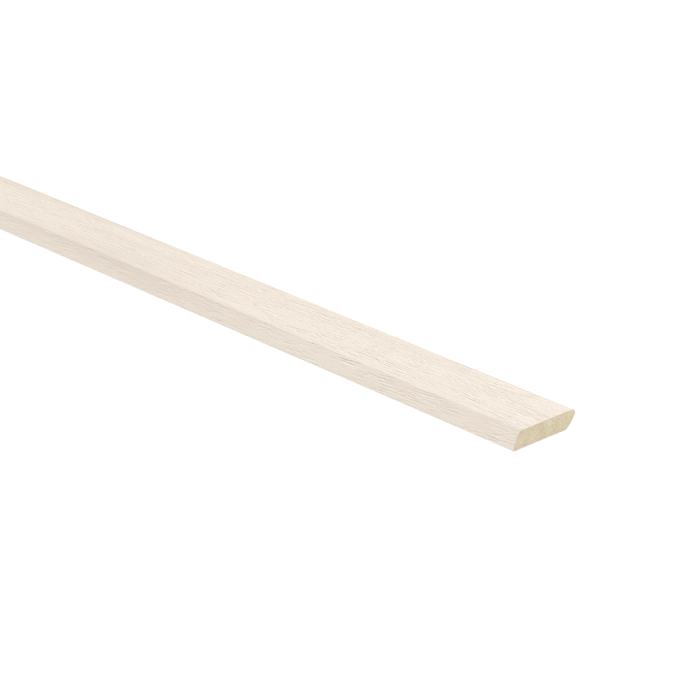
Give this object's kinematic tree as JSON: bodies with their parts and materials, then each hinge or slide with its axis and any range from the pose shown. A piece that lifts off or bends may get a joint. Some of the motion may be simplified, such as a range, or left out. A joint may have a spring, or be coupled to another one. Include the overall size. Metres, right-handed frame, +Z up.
{
  "type": "adhesive skirting strip",
  "caption": "Thin wrapped skirting strip with a rounded shoulder edge, an undercut far edge, square-cut ends and a self-adhesive back.",
  "frame": {"origin": "under the middle of the strip, on the level of its back", "axes": "+X along the strip, +Y across it from the shoulder edge to the undercut edge, +Z up out of the front face"},
  "size_m": [2.4, 0.022, 0.005],
  "materials": {
    "mdf": "matte",
    "oak_foil": "matte",
    "mounting_tape": "matte",
    "liner": "satin"
  },
  "bodies": {
    "root": {"mdf_core": "mdf", "decor_foil": "oak_foil", "adhesive_tape": "mounting_tape", "release_liner": "liner"}
  },
  "joints": []
}
